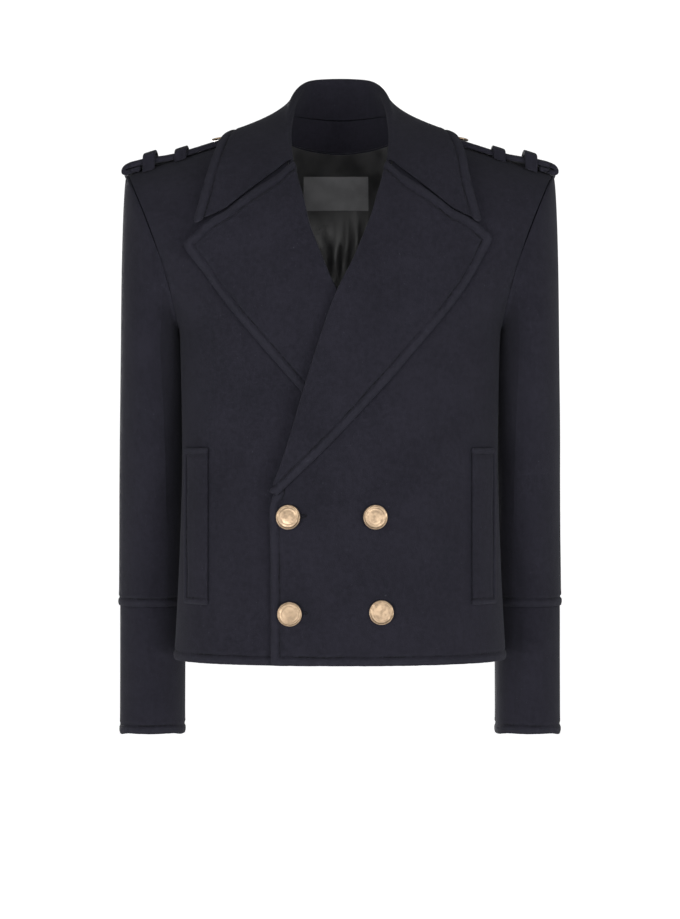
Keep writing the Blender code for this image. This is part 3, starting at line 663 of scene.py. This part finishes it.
def weltStitched(point):
    onEnd = point.z > edges["weltTopZ"] or point.z < edges["weltLowZ"]
    return onEnd or abs(point.x) > edges["weltMiddleX"]


def strapStitched(point):
    return abs(point.x) < edges["strapEndX"]


def atTip(point):
    return abs(point.x) > edges["tipX"]


def atFrontCorner(point):
    return point.x < edges["frontEdgeX"] and point.z < edges["hemZ"]


# a shift is a line from start to end, the push beside it and how wide it fades
# the gorge lies lower at its middle, with the collar's lower edge against the lapel's upper one
gorgeShifts = [((side * 0.068, -0.087, -0.052), (side * 0.120, -0.092, -0.085), (0, -0.0062, -0.0138), 0.030)
               for side in (-1, 1)]
gorge = {
    "collar": gorgeShifts + [
        ((side * 0.060, -0.085, -0.045), (side * 0.150, -0.095, -0.105), (0, 0, -0.0014), 0.014)
        for side in (-1, 1)
    ] + [((0.150, -0.090, -0.060), (0.168, -0.095, -0.105), (-0.0058, 0, 0.0015), 0.040)],
    "lapel": gorgeShifts + [
        ((side * 0.053, -0.078, -0.040), (side * 0.058, -0.082, -0.046), (0, 0.0008, 0.0046), 0.011)
        for side in (-1, 1)
    ] + [
        ((side * 0.060, -0.085, -0.045), (side * 0.150, -0.095, -0.108), (0, 0, 0.0016), 0.014)
        for side in (-1, 1)
    ] + [((-0.170, -0.090, -0.122), (-0.175, -0.090, -0.130), (-0.0042, -0.003, -0.0072), 0.035)],
}
# the folded edges open a little wider above the foot of the neckline
neckline = {
    "left": [((0.032, -0.095, -0.110), (0.012, -0.110, -0.150), (0.0052, 0, 0), 0.034)],
    "right": [((-0.024, -0.095, -0.125), (-0.010, -0.110, -0.168), (-0.0088, 0, 0), 0.044)],
}
# the lapel's foot sinks into the front's edge
lapelFoot = ((-0.074, -0.120, -0.424), (-0.066, -0.120, -0.421), (0.0006, 0.0026, 0.0010), 0.010)
# the sleeves lie against the body's sides just below the armholes
armpit = {
    "left": [((0.188, 0.000, -0.200), (0.188, 0.000, -0.272), (-0.0044, 0, 0), 0.032)],
    "right": [((-0.188, 0.000, -0.200), (-0.188, 0.000, -0.272), (0.0044, 0, 0), 0.032)],
}
# the ends of the cuffs hang a little lower at their two sides than in the middle
cuffEnds = [((side * x, 0.050, -0.706), (side * x, 0.078, -0.706), (0, 0, -0.0038), 0.018)
            for side in (-1, 1) for x in (0.1845, 0.2660)]
# a corner is where it is, its radius and how far it moves out first
lapelCorners = [(atTip, 0.0060, (0.0012, 0, 0))]

# flat is the width and length that the cloth was cut to, and area its cut area where that isn't a rectangle
fronts = {
    "front_left": {
        "name": "frontLeft", "flat": (0.34, 0.66), "area": 0.165, "held": "hung", "stitched": frontLeftStitched,
        "corners": [(atFrontCorner, 0.004, (0, 0, 0))], "shifts": neckline["left"]},
    "front_right": {
        "name": "frontRight", "flat": (0.34, 0.66), "area": 0.163, "held": "hung", "stitched": hemStitched,
        "shifts": neckline["right"]},
    "back": {
        "name": "backPanel", "flat": (0.56, 0.68), "area": 0.29, "held": "hung", "stitched": hemStitched},
}
foldedParts = {
    "lapel_left": {
        "name": "lapelLeft", "flat": (0.17, 0.46), "area": 0.039, "held": "folded", "restsOn": ["front_left"],
        "stitched": lapelLeftStitched, "corners": lapelCorners,
        "shifts": gorge["lapel"] + neckline["left"] + [lapelFoot]},
    "lapel_right": {
        "name": "lapelRight", "flat": (0.17, 0.46), "area": 0.039, "held": "folded", "restsOn": ["front_right"],
        "stitched": lapelRightStitched, "corners": lapelCorners, "shifts": gorge["lapel"] + neckline["right"]},
    "collar_fall": {
        "name": "collarFall", "flat": (0.62, 0.14), "area": 0.060, "held": "folded", "restsOn": ["collar_stand"],
        "stitched": collarStitched, "corners": [(atTip, 0.0085, (0.0004, 0, -0.0020))],
        "shifts": gorge["collar"]},
    "collar_stand": {
        "name": "collarStand", "flat": (0.40, 0.036), "area": 0.0096, "held": "folded", "shifts": gorgeShifts},
}
sleeves = {}
for side in ("left", "right"):
    title = side.capitalize()
    sleeves["sleeve_top_" + side] = {
        "name": "sleeveTop" + title, "flat": (0.26, 0.52), "area": 0.086, "held": "hung",
        "stitched": sleeveStitched, "tight": sleeveSeam, "shifts": armpit[side]}
    sleeves["sleeve_under_" + side] = {
        "name": "sleeveUnder" + title, "flat": (0.15, 0.42), "area": 0.044, "held": "hung",
        "stitched": sleeveStitched, "tight": sleeveSeam, "shifts": armpit[side]}
    sleeves["cuff_" + side] = {
        "name": "cuff" + title, "flat": (0.285, 0.152), "held": "folded",
        "stitched": cuffStitched, "shifts": cuffEnds}
    foldedParts["welt_" + side] = {
        "name": "welt" + title, "flat": (0.045, 0.18), "held": "folded", "restsOn": ["front_" + side],
        "stitched": weltStitched, "inset": 0.0068}
    foldedParts["epaulette_" + side] = {
        "name": "epaulette" + title, "flat": (0.050, 0.18), "held": "folded", "restsOn": ["front_" + side, "back"],
        "round": 0.0016, "stitched": strapStitched, "inset": 0.0068}
    for place in ("inner", "outer"):
        foldedParts["strap_loop_%s_%s" % (side, place)] = {
            "name": "strapLoop" + title + place.capitalize(), "flat": (0.0145, 0.095), "held": "folded",
            "restsOn": ["epaulette_" + side], "round": 0.0011}

for group in (fronts, foldedParts, sleeves):
    for node, values in group.items():
        clothPiece(node, values)

liningValues = {
    "name": "backLining", "flat": (0.50, 0.62), "area": 0.245, "held": "hung", "restsOn": ["back"],
    "material": satin, "slot": "lining", "round": 0.0003, "levels": 3,
    "folds": [
        ((-0.056, 0.080, -0.070), (0.04, 0, 1.0), (0, -0.0040, 0), 0.050, 0.0040),
        ((-0.037, 0.085, -0.150), (-0.12, 0, 1.0), (0, -0.0040, 0), 0.060, 0.0070),
        ((-0.015, 0.088, -0.196), (0.16, 0, 1.0), (0, -0.0074, 0), 0.105, 0.0040),
        ((-0.004, 0.088, -0.142), (-0.22, 0, 1.0), (0, -0.0030, 0), 0.050, 0.0030),
        ((0.012, 0.088, -0.176), (0.10, 0, 1.0), (0, -0.0066, 0), 0.085, 0.0052),
        ((0.026, 0.088, -0.128), (-0.20, 0, 1.0), (0, -0.0034, 0), 0.045, 0.0050),
        ((0.043, 0.085, -0.090), (0.14, 0, 1.0), (0, -0.0050, 0), 0.070, 0.0046),
        ((0.055, 0.083, -0.060), (-0.12, 0, 1.0), (0, -0.0040, 0), 0.045, 0.0036),
        ((-0.016, 0.080, -0.018), (0.10, 0, 1.0), (0, -0.0018, 0), 0.016, 0.0046),
        ((0.026, 0.080, -0.018), (-0.20, 0, 1.0), (0, -0.0020, 0), 0.018, 0.0038),
        ((-0.095, 0.075, -0.200), (0.03, 0, 1.0), (0, -0.0040, 0), 0.110, 0.0060),
        ((0.098, 0.075, -0.220), (-0.04, 0, 1.0), (0, -0.0040, 0), 0.120, 0.0065),
        ((-0.050, 0.085, -0.350), (-0.02, 0, 1.0), (0, -0.0040, 0), 0.110, 0.0060),
        ((0.046, 0.085, -0.370), (0.05, 0, 1.0), (0, -0.0042, 0), 0.120, 0.0065),
        ((0.004, 0.085, -0.420), (0.02, 0, 1.0), (0, -0.0040, 0), 0.100, 0.0058),
    ],
}
clothPiece("back_lining", liningValues)
patchValues = {
    "name": "neckPatch", "flat": (0.082, 0.042), "held": "laid", "restsOn": ["back_lining"],
    "material": patchCloth, "slot": "label", "round": 0.0002, "levels": 4, "folds": liningValues["folds"],
}
clothPiece("label", patchValues)
print("cloth made")


buttonValues = {
    "front": {"radius": 0.0140, "steps": 64}, "strap": {"radius": 0.0095, "steps": 48},
    "faces": (0, -1, 0.3), "weld": 1e-6,
    # distance from the axis and height, in shares of the radius, from the middle out and round the rim
    "profile": ((0.0, 0.235), (0.30, 0.232), (0.52, 0.215), (0.62, 0.200), (0.66, 0.214), (0.70, 0.214),
                (0.74, 0.196), (0.80, 0.190), (0.86, 0.205), (0.90, 0.245), (0.94, 0.262), (0.975, 0.245),
                (0.995, 0.200), (1.0, 0.140), (0.985, 0.080), (0.94, 0.045), (0.80, 0.030), (0.0, 0.030)),
}


def buttonPiece(node, name, values):
    # turned on a lathe, then set where the plain button lies, facing as its front face does
    mesh = bmesh.new()
    mesh.from_mesh(nodes[node].data)
    bmesh.ops.remove_doubles(mesh, verts=mesh.verts[:], dist=clothValues["mergeDistance"])
    forward = Vector(buttonValues["faces"])
    face = max(mesh.faces, key=lambda item: item.calc_area() if item.normal.dot(forward) > 0 else 0)
    outward = face.normal.copy()
    middle = sum((vertex.co for vertex in mesh.verts), Vector()) / len(mesh.verts)
    deepest = min((vertex.co - middle).dot(outward) for vertex in mesh.verts)
    mesh.clear()
    radius = values["radius"]
    profile = [mesh.verts.new((share * radius, 0, height * radius)) for share, height in buttonValues["profile"]]
    wires = [mesh.edges.new(pair) for pair in zip(profile, profile[1:])]
    bmesh.ops.spin(mesh, geom=profile + wires, cent=(0, 0, 0), axis=(0, 0, 1), angle=math.tau,
                   steps=values["steps"], use_merge=True)
    bmesh.ops.remove_doubles(mesh, verts=mesh.verts[:], dist=buttonValues["weld"])
    bmesh.ops.recalc_face_normals(mesh, faces=mesh.faces[:])
    turn = Vector((0, 0, 1)).rotation_difference(outward).to_matrix().to_4x4()
    place = Matrix.Translation(middle + outward * deepest) @ turn
    bmesh.ops.transform(mesh, matrix=place, verts=mesh.verts[:])
    finishPiece(name, mesh, gold, [node])


for number in range(1, 5):
    buttonPiece("button_%d" % number, "frontButton%d" % number, buttonValues["front"])
for side in ("left", "right"):
    buttonPiece("strap_button_" + side, "strapButton" + side.capitalize(), buttonValues["strap"])


holeValues = {
    "places": ((-0.0440, -0.4440), (-0.0430, -0.5530)), "halfLength": 0.0062, "halfHeight": 0.0016,
    "thread": 0.0006, "threadSides": 8, "steps": 40, "straightness": 1.4, "lift": 0.0001, "castFromY": -1.0,
    "weld": 1e-6,
}


def buttonholePiece(name, place, values):
    # a worked buttonhole: a ring of thread drawn out sideways, pressed into the cloth
    x, z = place
    point, normal, _, _ = surfaces.ray_cast(Vector((x, values["castFromY"], z)), Vector((0, 1, 0)))
    mesh = bmesh.new()
    section = bmesh.ops.create_circle(mesh, segments=values["threadSides"], radius=values["thread"])["verts"]
    bmesh.ops.rotate(mesh, verts=section, matrix=Matrix.Rotation(math.pi / 2, 3, "X"))
    bmesh.ops.translate(mesh, verts=section, vec=(values["halfHeight"], 0, 0))
    bmesh.ops.spin(mesh, geom=section + mesh.edges[:], cent=(0, 0, 0), axis=(0, 0, 1), angle=math.tau,
                   steps=values["steps"], use_merge=True)
    bmesh.ops.remove_doubles(mesh, verts=mesh.verts[:], dist=values["weld"])
    bmesh.ops.recalc_face_normals(mesh, faces=mesh.faces[:])
    stretch = values["halfLength"] - values["halfHeight"]
    for vertex in mesh.verts:
        share = vertex.co.x / values["halfHeight"] * values["straightness"]
        vertex.co.x += stretch * max(-1.0, min(1.0, share))
    turn = Vector((0, 0, 1)).rotation_difference(normal).to_matrix().to_4x4()
    place = Matrix.Translation(point + normal * values["lift"]) @ turn
    bmesh.ops.transform(mesh, matrix=place, verts=mesh.verts[:])
    finishPiece(name, mesh, thread, [])


for number, place in enumerate(holeValues["places"], 1):
    buttonholePiece("buttonhole%d" % number, place, holeValues)
print("buttons and buttonholes made")


# the light comes from the front and from both sides, low down, under a dim ceiling
studio = {
    "floorZ": -1.45, "floorRadius": 40.0, "floorSides": 64, "floorShade": 0.97, "floorGlow": 0.55,
    "world": 1.06, "ceiling": 0.30, "ceilingStart": 0.22, "ceilingEnd": 0.75,
    "lights": (
        ("keyLight", (-1.8, -2.6, -1.10), 1.4, 118.0),
        ("fillLight", (1.9, -2.6, -1.20), 1.4, 130.0),
        ("frontLight", (0.0, -2.9, 0.22), 1.8, 60.0),
        ("backLight", (-0.9, 3.1, -0.10), 1.6, 150.0),
    ),
    "aim": (0.0, 0.0, -0.40),
}
floorMesh = bmesh.new()
bmesh.ops.create_circle(floorMesh, cap_ends=True, segments=studio["floorSides"], radius=studio["floorRadius"])
bmesh.ops.translate(floorMesh, verts=floorMesh.verts[:], vec=(0, 0, studio["floorZ"]))
floorData = bpy.data.meshes.new("floor")
floorMesh.to_mesh(floorData)
floorMesh.free()
floorShade = studio["floorShade"]
floorMaterial = newMaterial("paleFloor", {
    "Roughness": 0.9, "Base Color": (floorShade, floorShade, floorShade, 1),
    "Emission Color": (1, 1, 1, 1), "Emission Strength": studio["floorGlow"]})[0]
floorData.materials.append(floorMaterial)
floor = bpy.data.objects.new("floor", floorData)
scene.collection.objects.link(floor)

world = bpy.data.worlds.new("studio")
world.use_nodes = True
worldTree = world.node_tree
background = worldTree.nodes["Background"]
background.inputs["Color"].default_value = (1, 1, 1, 1)
direction = worldTree.nodes.new("ShaderNodeTexCoord")
split = worldTree.nodes.new("ShaderNodeSeparateXYZ")
worldTree.links.new(direction.outputs["Generated"], split.inputs[0])
strength = rangeNode(worldTree, split.outputs["Z"], studio["ceilingStart"], studio["ceilingEnd"],
                     studio["world"], studio["ceiling"])
worldTree.links.new(strength, background.inputs["Strength"])
scene.world = world
for name, place, size, power in studio["lights"]:
    lightData = bpy.data.lights.new(name, "AREA")
    lightData.size = size
    lightData.energy = power
    light = bpy.data.objects.new(name, lightData)
    light.location = place
    light.rotation_euler = (Vector(studio["aim"]) - Vector(place)).to_track_quat("-Z", "Y").to_euler()
    scene.collection.objects.link(light)
print("studio made")
